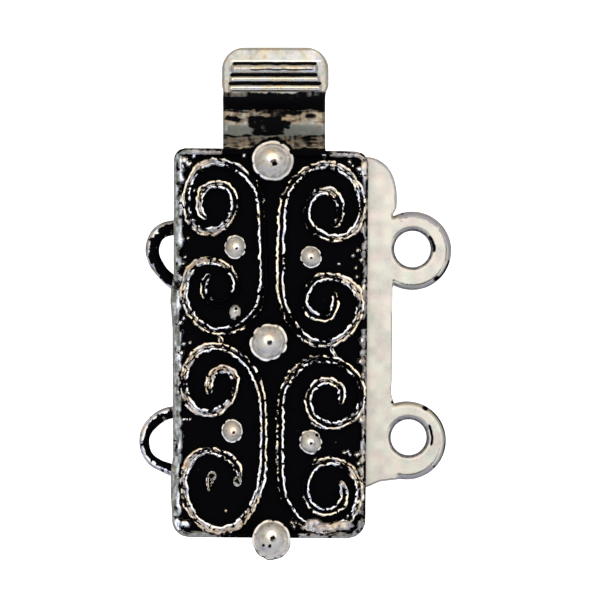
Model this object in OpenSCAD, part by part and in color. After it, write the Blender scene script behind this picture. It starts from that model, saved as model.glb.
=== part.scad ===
// Two-strand slide-in clasp with a cast scroll face.
// Millimetres. +X points to the two plain rings, +Y to the thumb pad, +Z out of the face.
// The origin is the centre of the clasp's flat back.

/* [Face] */
// Width of the cast face
face_w = 9.1; // [8.8:0.1:9.4]
// Length of the cast face
face_l = 18.2; // [18:0.1:18.6]
// Thickness of the casting under its blackened ground
ground_t = 0.6; // [0.5:0.05:0.8]
// Height of the rim above the ground
rim_h = 0.35; // [0.2:0.05:0.4]
// Width of the rim on the left side
rim_left = 0.45; // [0.3:0.05:0.5]
// Width of the rim on the right side
rim_right = 0.25; // [0.2:0.05:0.3]
// Width of the rim at both ends
rim_end = 0.22; // [0.2:0.02:0.3]
// Corner radius of the face
face_corner = 0.5; // [0.3:0.05:0.7]

/* [Scrolls] */
// Width of the scroll wire
wire_w = 0.38; // [0.3:0.02:0.42]
// Height of the scroll wire above the ground
wire_h = 0.45; // [0.3:0.05:0.5]
// Bevel along both top edges of the wire
wire_bevel = 0.11; // [0.05:0.01:0.14]
// Radius of the large balls
ball_r = 0.93; // [0.8:0.01:1]
// Radius of the small balls
grain_r = 0.54; // [0.4:0.02:0.6]
// Radius of the single drop
drop_r = 0.26; // [0.2:0.02:0.3]

/* [Sleeve] */
// Thickness of the folded sheet
sheet_t = 0.4; // [0.35:0.05:0.45]
// Height of the sleeve from back to roof
sleeve_h = 3.0; // [2.9:0.05:3.2]
// Length of the sleeve
sleeve_l = 17.6; // [17.2:0.1:17.8]
// Left edge of the sleeve
sleeve_left = -3.5; // [-3.6:0.05:-3.4]
// Right edge of the sleeve
sleeve_right = 4.0; // [3.9:0.05:4.2]
// Outer radius of the folded edges
fold_r = 0.5; // [0.45:0.05:0.6]
// Depth of the catch lip below the roof
lip_depth = 0.45; // [0.3:0.05:0.5]

/* [Left loops] */
// Hole radius of the upper loop
loop_hole_upper = 0.83; // [0.7:0.01:0.9]
// Hole radius of the lower loop
loop_hole_lower = 1.03; // [0.9:0.01:1.1]
// Width of the loop wire seen from above
loop_band_upper = 0.67; // [0.5:0.01:0.7]
// Width of the lower loop wire seen from above
loop_band_lower = 0.5; // [0.45:0.01:0.6]
// Thickness of the loop wire
loop_t = 0.7; // [0.5:0.05:0.9]

/* [Ring plate] */
// Thickness of the ring plate
plate_t = 0.7; // [0.6:0.05:0.75]
// Right edge of the plate above the rings
plate_right = 5.95; // [5.8:0.05:6.1]
// Radius of the ring holes
ring_hole = 0.85; // [0.75:0.01:0.9]
// Outer radius of the rings
ring_r = 1.84; // [1.7:0.02:1.9]
// Bevel at the edges of the rings and their holes
ring_bevel = 0.15; // [0.05:0.01:0.2]
// Radius of the plate's upper corner
plate_corner = 1.3; // [0.8:0.1:1.6]

/* [Tongue] */
// Thickness of the spring leaf
leaf_t = 0.4; // [0.35:0.05:0.45]
// Width of the leaf inside the sleeve
leaf_w = 6.1; // [5.9:0.1:6.2]
// Width of the neck that leaves the sleeve
neck_w = 4.78; // [4.5:0.02:4.8]
// Width of the thumb pad
pad_w = 4.93; // [4.6:0.01:5.1]
// Length of the thumb pad
pad_l = 2.1; // [1.9:0.05:2.3]
// Corner radius of the thumb pad
pad_corner = 1.05; // [0.6:0.05:1.1]
// Radius of the ribs on the thumb pad
rib_r = 0.2; // [0.1:0.02:0.22]
// Distance between the ribs on the thumb pad
rib_pitch = 0.43; // [0.41:0.01:0.46]

/* [Hidden] */
$fn = 48;
silver = [0.82, 0.82, 0.8];
dark_silver = [0.32, 0.32, 0.34];

// Heights above the back
face_z = sleeve_h;
ground_z = face_z + ground_t;
rim_z = ground_z + rim_h;
inner_top = sleeve_h - sheet_t;
lip_z = inner_top - lip_depth;
slide_gap = 0.1;
side_gap = 0.15;
catch_gap = 0.07;
plate_z = sheet_t + slide_gap;
plate_top = plate_z + plate_t;
slot_z = plate_top + side_gap;
slot_low_y = -6.85;

// How far raised forms reach down into the casting
sunk = 0.2;

// How far soldered pieces reach into each other, and how far a cut passes a face
overlap = 0.1;
cut_past = 1;

// Scroll layout: each row is one C-scroll
// Columns: x of its straight back, side it opens to (-1 left, 1 right), top y, bottom y
SCROLLS = [
    [-0.40, -1, 8.54, 0.50],
    [0.54, 1, 8.50, -0.10],
    [-0.34, -1, 0.00, -8.66],
    [0.56, 1, -0.63, -8.66],
];

// One curl from the back inwards: distance from the back, distance from the scroll's end
// The wire runs upright at even rows and level at odd rows
CURL = [
    [0.00, 2.75],
    [2.08, 0.00],
    [3.66, 1.94],
    [2.50, 3.42],
    [1.24, 2.10],
    [2.06, 1.12],
    [2.84, 1.92],
    [2.40, 2.62],
];

// The wire's end is a little thicker and lower than the wire
tip_extra = 0.04;
tip_drop = 0.03;

// Short nibs between the scrolls of one side: x, y
NIBS = [[-2.30, 0.25], [2.93, -0.37]];
nib_l = 0.5;

// Balls: x, y, radius
BALLS = [
    [0.15, 8.63, ball_r],
    [-0.02, 0.05, ball_r - 0.05],
    [0.08, -9.20, ball_r],
    [-1.61, 4.52, grain_r],
    [1.95, 4.06, grain_r],
    [-1.75, -4.10, grain_r],
    [1.93, -4.62, grain_r],
    [-1.57, 1.48, drop_r],
];

// Balls stand on the ground with this share of their radius below their centre
ball_lift = 0.3;

// Rings: x and y of the hole, x and y of the outer circle, which is a little lower
RINGS = [
    [6.71, 4.43, 6.70, 4.35],
    [6.53, -4.40, 6.45, -4.55],
];
plate_top_y = 8.75;
plate_low_y = -6.7;
plate_low_rise = 0.3;
plate_taper = 0.22;
fold_gap = 0.05;
plate_left = sleeve_left + sheet_t + side_gap;
plate_inner_right = sleeve_right - sheet_t - slide_gap;

// Left loops: y, hole radius, band width
LOOPS = [
    [4.29, loop_hole_upper, loop_band_upper],
    [-4.57, loop_hole_lower, loop_band_lower],
];
loop_z = 1.5;
loop_wall_gap = 0.02;

// Tongue layout along y and z
tongue_x = 0.27;
hinge_y = -7.9;
hinge_rise = 0.35;
hinge_z = plate_top + hinge_rise;
shoulder_gap = 0.08;
shoulder_y = sleeve_l / 2 - sheet_t - shoulder_gap;
shoulder_z = lip_z - catch_gap - leaf_t / 2;
rise = atan2(shoulder_z - hinge_z, shoulder_y - hinge_y);
leaf_run = norm([shoulder_y - hinge_y, shoulder_z - hinge_z]);
pad_end_y = 13.92;
neck_clear = 0.15;
pad_below = 0.6;
rib_first = 0.2;
rib_side = 0.45;
rib_count = 3;

// The tongue's centre line: straight run, then bend radius and bend angle
BENDS = [
    [leaf_run + 1.0, 1.6, 16],
    [0.15, 1.6, -17],
    [0.50, 0.42, 62],
    [0.30, 0.42, -62],
];

// Points of an arc that starts at p with heading h and turns by t around radius r
function bend_points(p, h, r, t, steps = 8) =
    [
        for (i = [1:steps])
            let (
                s = sign(t),
                a = t * i / steps,
                c = p + s * r * [-sin(h), cos(h)]
            )
            c + s * r * [sin(h + a), -cos(h + a)]
    ];

// Centre line of the tongue from p with heading h through the rows of BENDS
function centre_line(p, h, i = 0) =
    i >= len(BENDS) ? [] :
    let (
        q = p + BENDS[i][0] * [cos(h), sin(h)],
        turned = bend_points(q, h, BENDS[i][1], BENDS[i][2])
    )
    concat([q], turned, centre_line(turned[len(turned) - 1], h + BENDS[i][2], i + 1));

// Heading of a line through its neighbours at point i
function heading(line, i) =
    let (
        a = line[max(i - 1, 0)],
        b = line[min(i + 1, len(line) - 1)]
    )
    atan2(b[1] - a[1], b[0] - a[0]);

// Line moved sideways by d
function beside(line, d) = [
    for (i = [0:len(line) - 1])
        let (h = heading(line, i))
        line[i] + d * [-sin(h), cos(h)]
];

function backwards(line) = [for (i = [len(line) - 1:-1:0]) line[i]];

module rounded_rect(x0, y0, x1, y1, r) {
    translate([x0 + r, y0])
        square([x1 - x0 - 2 * r, y1 - y0]);
    translate([x0, y0 + r])
        square([x1 - x0, y1 - y0 - 2 * r]);
    for (x = [x0 + r, x1 - r], y = [y0 + r, y1 - r])
        translate([x, y])
            circle(r = r);
}

// Section of the scroll wire with bevelled top edges
module wire_section() {
    polygon([
        [-wire_w / 2, ground_z - sunk],
        [wire_w / 2, ground_z - sunk],
        [wire_w / 2, ground_z + wire_h - wire_bevel],
        [wire_w / 2 - wire_bevel, ground_z + wire_h],
        [-wire_w / 2 + wire_bevel, ground_z + wire_h],
        [-wire_w / 2, ground_z + wire_h - wire_bevel],
    ]);
}

// Straight wire from p to q
module straight_wire(p, q) {
    d = q - p;
    if (norm(d) > 0)
        translate([p[0], p[1], 0])
            rotate([90, 0, atan2(d[1], d[0]) + 90])
                linear_extrude(norm(d))
                    wire_section();
}

// Quarter turn around c from angle a to angle a + 90
module quarter_wire(c, r, a) {
    translate([c[0], c[1], 0])
        rotate([0, 0, a])
            rotate_extrude(angle = 90)
                translate([r, 0])
                    wire_section();
}

// Quarter of a curl from p to q: one round corner and what is left over as a straight run
module curl_quarter(p, q, upright) {
    d = q - p;
    r = min(abs(d[0]), abs(d[1]));
    sx = sign(d[0]);
    sy = sign(d[1]);
    extra = [abs(d[0]) - r, abs(d[1]) - r];
    bend_start = upright ? p + [0, sy * extra[1]] : p + [sx * extra[0], 0];
    bend_end = bend_start + r * [sx, sy];
    centre = upright ? bend_start + [sx * r, 0] : bend_start + [0, sy * r];
    mid = (bend_start + bend_end) / 2 - centre;
    quadrant = floor(((atan2(mid[1], mid[0]) + 360) % 360) / 90) * 90;
    straight_wire(p, bend_start);
    quarter_wire(centre, r, quadrant);
    straight_wire(bend_end, q);
}

module curl() {
    for (i = [0:len(CURL) - 2])
        curl_quarter(CURL[i], CURL[i + 1], i % 2 == 0);
    tip = CURL[len(CURL) - 1];
    translate([tip[0], tip[1], ground_z - sunk])
        cylinder(r = wire_w / 2 + tip_extra, h = sunk + wire_h - tip_drop);
}

// One C-scroll: two curls joined by the straight back
module c_scroll(x, side, top, low) {
    translate([x, top, 0])
        scale_flip(side, -1)
            curl();
    translate([x, low, 0])
        scale_flip(side, 1)
            curl();
    straight_wire([x, low + CURL[0][1]], [x, top - CURL[0][1]]);
}

// Mirrors a shape into the side and direction that it is needed in
module scale_flip(side_x, side_y) {
    mirror([side_x < 0 ? 1 : 0, 0, 0])
        mirror([0, side_y < 0 ? 1 : 0, 0])
            children();
}

module casting_plate() {
    difference() {
        translate([0, 0, face_z])
            linear_extrude(rim_z - face_z)
                rounded_rect(-face_w / 2, -face_l / 2, face_w / 2, face_l / 2, face_corner);
        translate([0, 0, ground_z])
            linear_extrude(rim_h + cut_past)
                rounded_rect(
                    -face_w / 2 + rim_left, -face_l / 2 + rim_end,
                    face_w / 2 - rim_right, face_l / 2 - rim_end, face_corner / 2
                );
    }
}

module balls() {
    for (b = BALLS)
        translate([b[0], b[1], ground_z + b[2] * ball_lift])
            sphere(r = b[2]);
}

module face_plate() {
    color(dark_silver) {
        casting_plate();
        for (s = SCROLLS)
            c_scroll(s[0], s[1], s[2], s[3]);
        for (n = NIBS)
            straight_wire(n - [0, nib_l / 2], n + [0, nib_l / 2]);
        balls();
    }
}

// The folded sheet in section, seen along the clasp
module sleeve_section() {
    difference() {
        rounded_rect(sleeve_left, 0, sleeve_right, sleeve_h, fold_r);
        rounded_rect(
            sleeve_left + sheet_t, sheet_t,
            sleeve_right - sheet_t, inner_top, fold_r - sheet_t
        );
    }
}

module along_y(y0, y1) {
    translate([0, y1, 0])
        rotate([90, 0, 0])
            linear_extrude(y1 - y0)
                children();
}

// Round disc with both its rims bevelled
module bevelled_disc(r, h, bevel) {
    cylinder(r1 = r - bevel, r2 = r, h = bevel);
    translate([0, 0, bevel])
        cylinder(r = r, h = h - 2 * bevel);
    translate([0, 0, h - bevel])
        cylinder(r1 = r, r2 = r - bevel, h = bevel);
}

// Loop of flat wire with a round hole, let into the sleeve's left wall
module left_loop(y, hole, band) {
    x = sleeve_left - hole - loop_wall_gap;
    translate([x, y, loop_z])
        difference() {
            bevelled_disc(hole + band, loop_t, ring_bevel);
            translate([0, 0, -cut_past])
                cylinder(r = hole, h = loop_t + 2 * cut_past);
        }
}

module sleeve() {
    half = sleeve_l / 2;
    inner_w = sleeve_right - sleeve_left - 2 * sheet_t;
    color(silver) {
        difference() {
            union() {
                along_y(-half, half)
                    sleeve_section();
                for (l = LOOPS)
                    left_loop(l[0], l[1], l[2]);
            }
            // The loops end flush with the sleeve's inner face
            translate([sleeve_left + sheet_t, -half + sheet_t, sheet_t])
                cube([inner_w, sleeve_l, inner_top - sheet_t]);
            // Slot for the ring plate along the right side
            translate([sleeve_right - sheet_t - overlap, slot_low_y, sheet_t])
                cube([sheet_t + cut_past, sleeve_l, slot_z - sheet_t]);
        }
        // End wall
        translate([sleeve_left + sheet_t - overlap, -half, sheet_t - overlap])
            cube([inner_w + 2 * overlap, sheet_t, inner_top - sheet_t + 2 * overlap]);
        // Catch lip at the mouth, on both sides of the neck
        for (x = [[sleeve_left + sheet_t - overlap, tongue_x - neck_w / 2 - neck_clear],
                  [tongue_x + neck_w / 2 + neck_clear, sleeve_right - sheet_t + overlap]])
            translate([x[0], half - sheet_t, lip_z])
                cube([x[1] - x[0], sheet_t, lip_depth + overlap]);
    }
}

// Outline of the ring plate without its rings
module plate_outline() {
    strip_left = plate_inner_right - overlap;
    straight_top = plate_top_y - plate_corner;
    // Part inside the sleeve
    translate([plate_left, hinge_y])
        square([plate_inner_right - plate_left, plate_top_y - hinge_y]);
    // Strip through the slot: it widens towards its round upper corner
    polygon([
        [strip_left, plate_low_y],
        [plate_right - plate_taper, plate_low_y + plate_low_rise],
        [plate_right, straight_top],
        [strip_left, straight_top],
    ]);
    translate([strip_left, straight_top - overlap])
        square([plate_right - plate_corner - strip_left, plate_corner + overlap]);
    translate([plate_right - plate_corner, straight_top])
        circle(r = plate_corner);
}

// The fold at the closed end that carries the tongue
module plate_fold() {
    translate([plate_left, hinge_y - sheet_t, plate_z])
        cube([
            plate_inner_right - plate_left,
            sheet_t - fold_gap,
            hinge_z + leaf_t / 2 - plate_z
        ]);
    translate([plate_left, hinge_y - sheet_t, plate_z])
        cube([plate_inner_right - plate_left, sheet_t + overlap, plate_t]);
}

module ring_plate() {
    color(silver)
        difference() {
            union() {
                translate([0, 0, plate_z])
                    linear_extrude(plate_t)
                        plate_outline();
                for (r = RINGS)
                    translate([r[2], r[3], plate_z])
                        bevelled_disc(ring_r, plate_t, ring_bevel);
                plate_fold();
            }
            for (r = RINGS)
                translate([r[0], r[1], plate_z]) {
                    translate([0, 0, -cut_past])
                        cylinder(r = ring_hole, h = plate_t + 2 * cut_past);
                    translate([0, 0, plate_t - ring_bevel])
                        cylinder(r1 = ring_hole, r2 = ring_hole + 2 * ring_bevel, h = 2 * ring_bevel);
                }
        }
}

module tongue() {
    line = concat(
        [[hinge_y, hinge_z]],
        centre_line([hinge_y, hinge_z], rise)
    );
    last = line[len(line) - 1];
    whole = concat(line, [[pad_end_y, last[1]]]);
    pad_y = pad_end_y - pad_l;
    pad_top = last[1] + leaf_t / 2;
    color(silver) {
        intersection() {
            translate([tongue_x - leaf_w, 0, 0])
                rotate([90, 0, 90])
                    linear_extrude(2 * leaf_w)
                        polygon(concat(beside(whole, leaf_t / 2), backwards(beside(whole, -leaf_t / 2))));
            linear_extrude(10)
                union() {
                    translate([tongue_x - leaf_w / 2, hinge_y])
                        square([leaf_w, shoulder_y - hinge_y]);
                    translate([tongue_x - neck_w / 2, shoulder_y - overlap])
                        square([neck_w, pad_y - shoulder_y + 2 * overlap]);
                    rounded_rect(
                        tongue_x - pad_w / 2, pad_y - pad_below,
                        tongue_x + pad_w / 2, pad_end_y, pad_corner
                    );
                }
        }
        for (i = [0:rib_count - 1])
            translate([tongue_x - pad_w / 2 + rib_side, pad_y + rib_first + rib_pitch * i, pad_top])
                rotate([0, 90, 0])
                    cylinder(r = rib_r, h = pad_w - 2 * rib_side);
    }
}

face_plate();
sleeve();
ring_plate();
tongue();
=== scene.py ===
"""Looks of the two-strand slide-in clasp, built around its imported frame.

Meshes are made in millimetres in the frame's axes and scaled to metres at the end. Places that
follow the photograph are given in its pixels, which photo_mm turns into millimetres.
"""

import math

import bpy
import numpy as np
from mathutils import Matrix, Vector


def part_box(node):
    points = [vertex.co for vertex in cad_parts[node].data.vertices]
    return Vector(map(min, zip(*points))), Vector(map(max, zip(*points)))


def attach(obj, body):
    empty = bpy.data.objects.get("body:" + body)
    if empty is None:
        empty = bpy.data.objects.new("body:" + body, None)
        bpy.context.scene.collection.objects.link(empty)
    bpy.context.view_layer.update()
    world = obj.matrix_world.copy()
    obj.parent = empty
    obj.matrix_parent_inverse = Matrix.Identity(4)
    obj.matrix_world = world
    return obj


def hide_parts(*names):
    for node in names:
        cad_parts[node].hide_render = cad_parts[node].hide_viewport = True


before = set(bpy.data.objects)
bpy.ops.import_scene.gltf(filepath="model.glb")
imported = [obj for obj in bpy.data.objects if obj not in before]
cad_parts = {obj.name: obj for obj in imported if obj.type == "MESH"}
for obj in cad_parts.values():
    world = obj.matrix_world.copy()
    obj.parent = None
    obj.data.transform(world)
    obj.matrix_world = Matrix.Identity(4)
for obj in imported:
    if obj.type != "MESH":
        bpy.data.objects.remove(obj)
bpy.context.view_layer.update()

MM = 0.001

# The photograph: its side in pixels, the middle of the face in it, its scale at the rim, and how
# far above the rim it is taken from, in millimetres
PHOTO_SIDE = 600
FACE_PX = (269.4, 343.5)
PX_PER_MM = 21.33
CAMERA_ABOVE = 320.0


def node_mm(node):
    """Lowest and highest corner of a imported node, in millimetres."""
    return [[v / MM for v in corner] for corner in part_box(node)]


# Heights and sizes in millimetres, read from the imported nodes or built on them
BALL_TOP_Z = node_mm("face_plate")[1][2]
SLEEVE_RIGHT, SLEEVE_HALF, FACE_Z = node_mm("sleeve")[1]
# The sleeve's left wall; its node reaches further, to the ends of the loops
SLEEVE_LEFT = -3.5
SHEET_T = 0.4
(PLATE_LEFT, PLATE_LOW, PLATE_Z), (_, PLATE_HIGH, PLATE_FOLD_Z) = node_mm("ring_plate")
PLATE_T = 0.7
PLATE_TOP = PLATE_Z + PLATE_T
FACE_T = 0.6
GROUND_Z = FACE_Z + FACE_T
RIM_H, WIRE_H = 0.33, 0.43
RIM_Z = GROUND_Z + RIM_H

MIDDLE = PHOTO_SIDE / 2
CAMERA_X = (MIDDLE - FACE_PX[0]) / PX_PER_MM
CAMERA_Y = (FACE_PX[1] - MIDDLE) / PX_PER_MM
CAMERA_Z = RIM_Z + CAMERA_ABOVE


def mm_per_px(z):
    """The photograph's scale at height z."""
    return (CAMERA_Z - z) / (CAMERA_Z - RIM_Z) / PX_PER_MM


def photo_mm(x, y, z=RIM_Z):
    """The point at height z that the photograph shows at pixel x, y, in millimetres."""
    scale = mm_per_px(z)
    return CAMERA_X + (x - MIDDLE) * scale, CAMERA_Y - (y - MIDDLE) * scale


def pixel_of(x, y, z):
    """Where the photograph shows a point: the reverse of photo_mm."""
    scale = mm_per_px(z)
    return MIDDLE + (x - CAMERA_X) / scale, MIDDLE - (y - CAMERA_Y) / scale


# Small numeric helpers

NOISE_SIDE = 128


def smoothstep(low, high, x):
    """0 below low, 1 above high, smooth between them."""
    t = np.clip((x - low) / (high - low), 0, 1)
    return t * t * (3 - 2 * t)


def fade(low, high, x):
    """1 below low, 0 above high, smooth between them."""
    return 1 - smoothstep(low, high, x)


def within(low, high, x, soft):
    """1 between low and high, 0 outside, with edges 2 * soft wide."""
    return smoothstep(low - soft, low + soft, x) * fade(high - soft, high + soft, x)


def noise(x, y, size, seed):
    """Random hills about `size` across, from -1 to 1, at the points x, y."""
    table = np.random.default_rng(seed).uniform(-1, 1, (NOISE_SIDE, NOISE_SIDE))
    gx, gy = [np.asarray(v) / size + NOISE_SIDE / 2 for v in (x, y)]
    ix, iy = np.floor(gx).astype(int), np.floor(gy).astype(int)
    fx, fy = smoothstep(0, 1, gx - ix), smoothstep(0, 1, gy - iy)

    def row(j):
        left, right = [table[(ix + i) % NOISE_SIDE, (iy + j) % NOISE_SIDE] for i in (0, 1)]
        return left * (1 - fx) + right * fx

    return row(0) * (1 - fy) + row(1) * fy


def spots(table, x, y, z, soft):
    """Sum at each point of a table's spots: x, y, half sizes in pixels, strength."""
    px, py = pixel_of(x, y, z)
    total = np.zeros_like(x)
    for spot_x, spot_y, half_x, half_y, strength in table:
        near = np.hypot((px - spot_x) / half_x, (py - spot_y) / half_y)
        total += strength * fade(1 - soft, 1 + soft, near)
    return total


def resample(points, step):
    """Points along a path at even steps, with every column carried along."""
    points = np.asarray(points, float)
    lengths = np.linalg.norm(np.diff(points[:, :2], axis=0), axis=1)
    along = np.concatenate([[0], np.cumsum(lengths)])
    even = np.linspace(0, along[-1], max(2, int(along[-1] / step)))
    return np.column_stack([np.interp(even, along, column) for column in points.T])


def spline(points, rounds=4):
    """A smooth path through given points, by repeated corner cutting."""
    for _ in range(rounds):
        a, b = points[:-1], points[1:]
        cut = np.stack([a * 0.75 + b * 0.25, a * 0.25 + b * 0.75], axis=1)
        points = np.vstack([points[:1], cut.reshape(-1, points.shape[1]), points[-1:]])
    return points


def sideways(points):
    """Unit vectors to the left of a path in the plane."""
    ahead = np.gradient(points[:, :2], axis=0)
    side = np.column_stack([-ahead[:, 1], ahead[:, 0]])
    return side / (np.linalg.norm(side, axis=1)[:, None] + 1e-9)


# Making pieces

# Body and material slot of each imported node
NODES = {
    "face_plate": ("box", "antiqued_silver"),
    "sleeve": ("box", "aged_silver"),
    "ring_plate": ("insert", "bright_silver"),
    "tongue": ("tongue", "spring_silver"),
}


def new_object(name, data):
    """An object in the scene for a mesh or a camera."""
    made = bpy.data.objects.new(name, data)
    bpy.context.scene.collection.objects.link(made)
    return made


def finish_piece(name, mesh, material, node):
    """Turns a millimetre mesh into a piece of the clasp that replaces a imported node."""
    body, slot = NODES[node]
    mesh.transform(Matrix.Scale(MM, 4))
    mesh.materials.clear()
    mesh.materials.append(material)
    for face in mesh.polygons:
        face.use_smooth = True
    piece = new_object(name, mesh)
    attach(piece, body)
    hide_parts(node)


def add_layers(mesh, **layers):
    """Gives a mesh one float attribute for each named layer."""
    for layer, values in layers.items():
        data = np.asarray(values, np.float32).ravel()
        mesh.attributes.new(layer, "FLOAT", "POINT").data.foreach_set("value", data)
    return mesh


def new_mesh(name, verts, faces, **layers):
    mesh = bpy.data.meshes.new(name)
    mesh.from_pydata(np.asarray(verts, float).tolist(), [], faces)
    return add_layers(mesh, **layers)


def grid_faces(rows, cols, wrap=False):
    """Quads between the rows of a grid of points, joined round if wrap is set."""
    index = np.arange(rows * cols).reshape(rows, cols)
    beside = np.roll(index, -1, axis=1)
    if not wrap:
        index, beside = index[:, :-1], beside[:, :-1]
    quads = np.stack([index[:-1], beside[:-1], beside[1:], index[1:]], axis=-1)
    return quads.reshape(-1, 4).tolist()


def swept_piece(name, points, worn, dull, hue, material, node, inside_out=False):
    """Closed tube through rings of points, given as x, y and z, each with one ring a row."""
    verts = np.stack(points, axis=-1)
    rows, cols, _ = verts.shape
    faces = grid_faces(rows, cols, wrap=True)
    faces += [list(range(cols))[::-1], [(rows - 1) * cols + i for i in range(cols)]]
    if inside_out:
        faces = [face[::-1] for face in faces]
    worn, dull, hue = np.broadcast_arrays(worn, np.clip(dull, 0, 1), hue)
    mesh = new_mesh(name, verts.reshape(-1, 3), faces, worn=worn, dull=dull, hue=hue)
    finish_piece(name, mesh, material, node)


def evaluated(mesh, *modifiers):
    """Mesh after the given modifiers, each a type and a dict of its settings."""
    work = new_object("work", mesh)
    for kind, settings in modifiers:
        modifier = work.modifiers.new(kind, kind)
        for key, value in settings.items():
            setattr(modifier, key, value)
    depsgraph = bpy.context.evaluated_depsgraph_get()
    result = bpy.data.meshes.new_from_object(work.evaluated_get(depsgraph))
    bpy.data.objects.remove(work)
    return result


def prism(outline, z0, z1):
    """Verts and faces of a closed prism over an outline in x and y."""
    n = len(outline)
    verts = np.array([(*point, z) for z in (z0, z1) for point in outline])
    faces = [list(range(n))[::-1], list(range(n, 2 * n))]
    faces += [[i, (i + 1) % n, (i + 1) % n + n, i + n] for i in range(n)]
    return verts, faces


def box(x0, y0, z0, x1, y1, z1):
    return prism([(x0, y0), (x1, y0), (x1, y1), (x0, y1)], z0, z1)


def joined(*parts):
    """One list of verts and faces from several."""
    verts, faces = [], []
    for part_verts, part_faces in parts:
        faces += [[i + len(verts) for i in face] for face in part_faces]
        verts += part_verts.tolist()
    return verts, faces


# Materials

class Graph:
    """The shader nodes of a material or of the world."""

    def __init__(self, owner):
        owner.use_nodes = True
        self.nodes, self.links = owner.node_tree.nodes, owner.node_tree.links

    def feed(self, socket, value):
        """Links another node's output to a socket, or sets the socket to a constant."""
        if isinstance(value, bpy.types.NodeSocket):
            self.links.new(value, socket)
        else:
            socket.default_value = value

    def add(self, kind, output, inputs, **settings):
        """An output of a new node with the given inputs and settings."""
        node = self.nodes.new("ShaderNode" + kind)
        for key, value in settings.items():
            setattr(node, key, value)
        for name, value in inputs.items():
            self.feed(node.inputs[name], value)
        return node.outputs[output]

    def millimetres(self):
        """Object coordinates counted in millimetres."""
        at = self.add("TexCoord", "Object", {})
        return self.add("VectorMath", 0, {0: at, "Scale": 1 / MM}, operation="SCALE")

    def noise(self, at, scale, detail=2.0, roughness=0.5):
        inputs = {"Vector": at, "Scale": scale, "Detail": detail, "Roughness": roughness}
        return self.add("TexNoise", "Fac", inputs)

    def ramp(self, place, stops):
        """Colour at a place between stops, each a place, then red, green and blue."""
        colour = self.add("ValToRGB", "Color", {"Fac": place})
        elements = colour.node.color_ramp.elements
        for element, (at, *rgb) in zip(elements, (stops[0], stops[-1])):
            element.position, element.color = at, (*rgb, 1)
        for at, *rgb in stops[1:-1]:
            elements.new(at).color = (*rgb, 1)
        return colour

    def remap(self, value, from_low, from_high, to_low, to_high, kind="LINEAR"):
        inputs = {
            "Value": value, "From Min": from_low, "From Max": from_high,
            "To Min": to_low, "To Max": to_high,
        }
        return self.add("MapRange", "Result", inputs, interpolation_type=kind)

    def attribute(self, name):
        return self.add("Attribute", "Fac", {}, attribute_name=name)

    def calculate(self, operation, a, b):
        return self.add("Math", 0, {0: a, 1: b}, operation=operation)

    def mix(self, fac, a, b, blend="MIX"):
        inputs = {"Factor": fac, 6: a, 7: b}
        return self.add("Mix", 2, inputs, data_type="RGBA", blend_type=blend)

    def bump(self, shader, height, strength):
        inputs = {"Height": height, "Strength": strength, "Distance": BUMP_DEPTH}
        self.feed(shader["Normal"], self.add("Bump", "Normal", inputs))


BUMP_DEPTH = 0.02 * MM
BLACK_OXIDE = (0.0012, 0.0011, 0.0020)
# Where the colours of the metal and of its film lie on the scale from cool to warm
SILVER_PLACES = (0.10, 0.36, 0.5, 0.64)
FILM_PLACES = (0.12, 0.38, 0.5, 0.62)


def new_material(name):
    """A material, its graph and the inputs of its shader."""
    material = bpy.data.materials.new(name)
    graph = Graph(material)
    return material, graph, graph.nodes["Principled BSDF"].inputs


def antiqued_silver(
    name, silvers, films, rough, grain=0.5, soft=0.10, broken=0.33, black=BLACK_OXIDE, film_shine=0.25
):
    """Silver worn bright where `worn` is high, black where it is low (oxide, and in places painted
    shade and dark reflections), matt where `dull`.

    silvers and films are three colours each, cool to warm, which take turns in patches and lean to
    the warm ones where `hue` is high; a fourth colour before them shows where it is far below 0.
    broken says how ragged the edge of the black is, soft how gradual, and film_shine how much of
    the metal's shine the film leaves.
    """
    material, graph, shader = new_material(name)
    at = graph.millimetres()
    hue = graph.attribute("hue")

    def tinted(colours, places, *pattern):
        place = graph.calculate("ADD", graph.noise(at, *pattern), hue)
        stops = [(p, *rgb) for p, rgb in zip(places[-len(colours):], colours)]
        return graph.ramp(place, stops)

    edge = graph.remap(graph.noise(at, 6.5, 4.0, 0.7), 0.28, 0.72, 0.51 - broken, 0.51 + broken)
    wear = graph.calculate("SUBTRACT", graph.attribute("worn"), edge)
    bright = graph.remap(wear, -soft, soft, 0, 1, "SMOOTHSTEP")
    silver = tinted(silvers, SILVER_PLACES, 1.6)
    film_colour = tinted(films, FILM_PLACES, 2.7, 3.0, 0.65)
    film = graph.remap(graph.noise(at, 5.5, 3.0, 0.6), 0.3, 0.7, 0.75, 1.25)
    film = graph.calculate("MULTIPLY", film, graph.attribute("dull"))
    silver = graph.mix(film, silver, film_colour)
    graph.feed(shader["Base Color"], graph.mix(bright, (*black, 1), silver))
    shine = graph.remap(film, 0, 1, 1.0, film_shine)
    graph.feed(shader["Metallic"], graph.calculate("MULTIPLY", bright, shine))
    graph.feed(shader["Roughness"], graph.remap(bright, 0, 1, 0.55, rough))
    shader["Specular IOR Level"].default_value = 0.02
    graph.bump(shader, graph.noise(at, 9.0, 3.0, 0.6), grain)
    return material


def aged_sheet():
    """Folded sheet of the sleeve: dull plating, darker where hands never rub it."""
    material, graph, shader = new_material("aged_silver")
    at = graph.millimetres()
    stain = graph.noise(at, 0.8, 5.0, 0.6)
    colours = [(0.3, 0.30, 0.29, 0.28), (0.5, 0.58, 0.56, 0.53), (0.72, 0.70, 0.68, 0.64)]
    graph.feed(shader["Base Color"], graph.ramp(stain, colours))
    shader["Metallic"].default_value = 1.0
    graph.feed(shader["Roughness"], graph.remap(stain, 0.3, 0.7, 0.42, 0.26))
    graph.bump(shader, graph.noise(at, 6.0, 4.0, 0.6), 0.2)
    return material


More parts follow.
